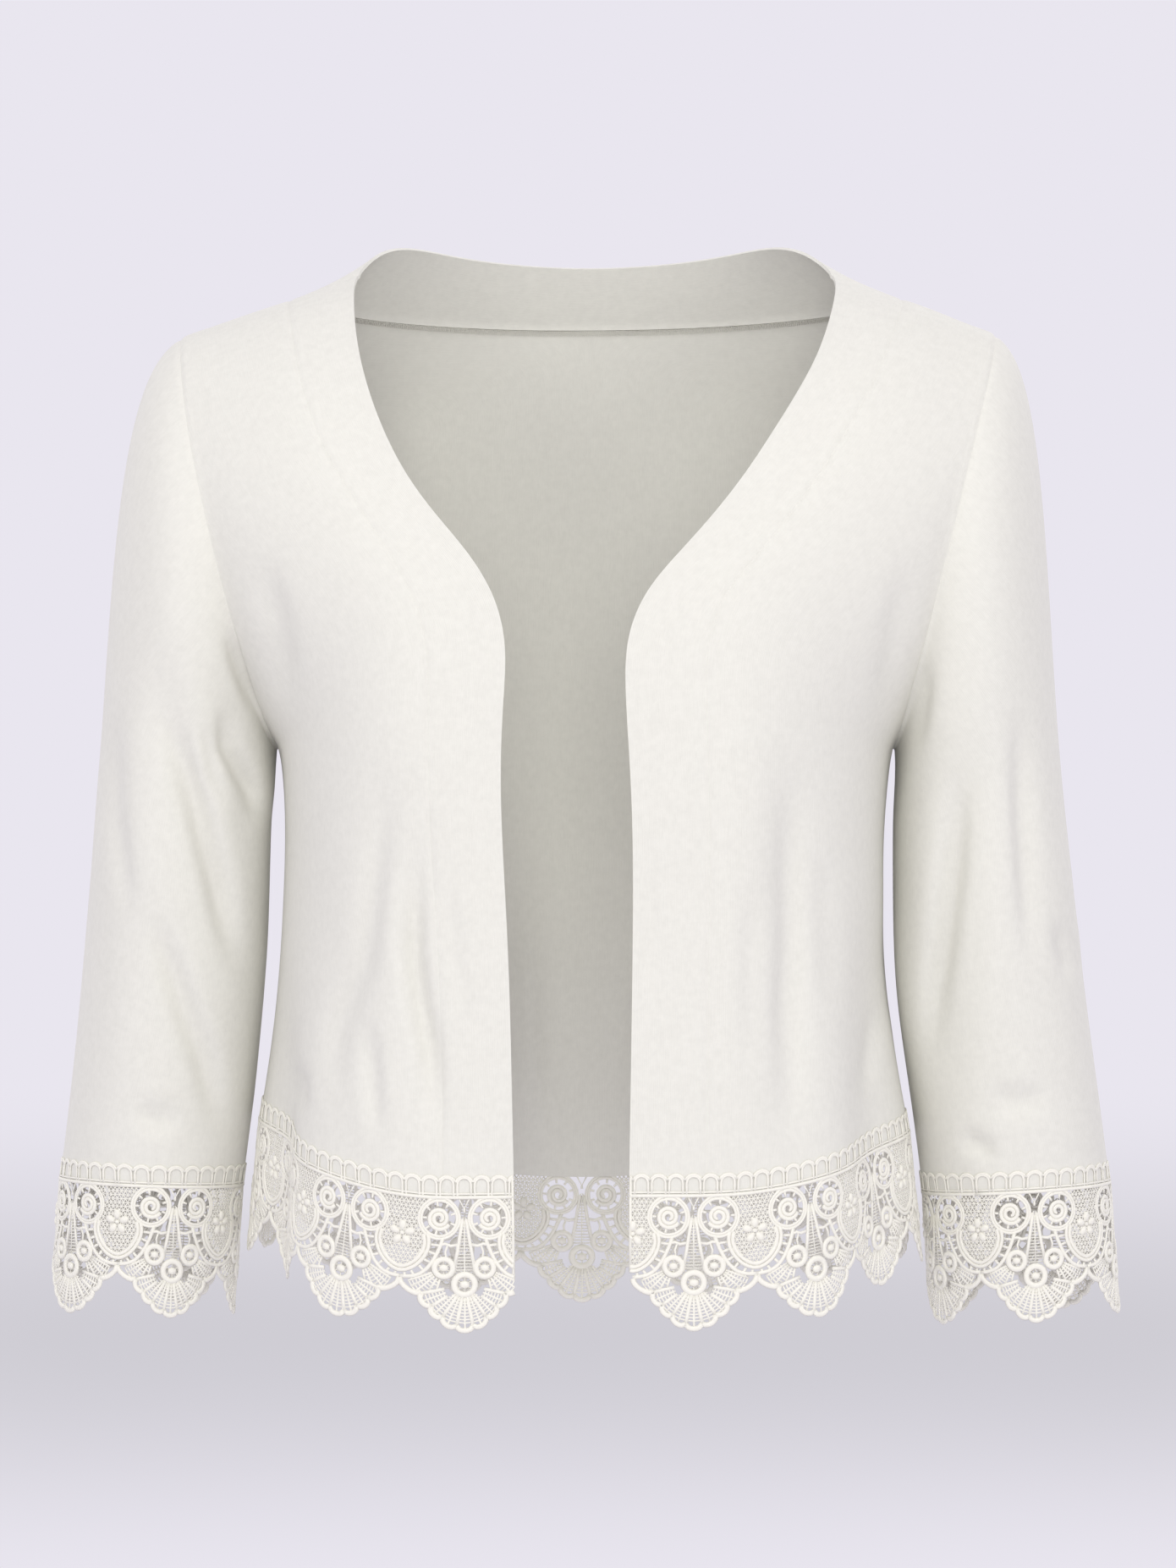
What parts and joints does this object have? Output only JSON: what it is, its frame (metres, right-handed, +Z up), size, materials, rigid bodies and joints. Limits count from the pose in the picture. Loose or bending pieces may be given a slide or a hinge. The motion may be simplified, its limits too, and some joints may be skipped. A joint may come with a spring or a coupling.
{
  "type": "bolero jacket",
  "caption": "Cropped open-fronted jersey jacket with set-in three-quarter sleeves and lace at hem and cuffs, holding its worn shape.",
  "frame": {"origin": "where the shoulders carry the jacket, midway between the neck ends of its shoulder seams", "axes": "+X to the viewer's right with the open front facing the viewer, -Y out of the open front, +Z up"},
  "size_m": [0.5354, 0.2403, 0.5398],
  "materials": {
    "jersey": "matt ivory viscose jersey, very fine rib of knit stitches",
    "lace": "ivory guipure lace of raised satin cords and fine net"
  },
  "bodies": {
    "root": {"back": "jersey", "front_left": "jersey", "front_right": "jersey", "band_left": "jersey", "band_right": "jersey", "neck_band": "jersey", "sleeve_left": "jersey", "sleeve_right": "jersey", "hem_lace_left": "lace", "hem_lace_back": "lace", "hem_lace_right": "lace", "cuff_lace_left_a": "lace", "cuff_lace_left_b": "lace", "cuff_lace_right_a": "lace", "cuff_lace_right_b": "lace"}
  },
  "joints": []
}
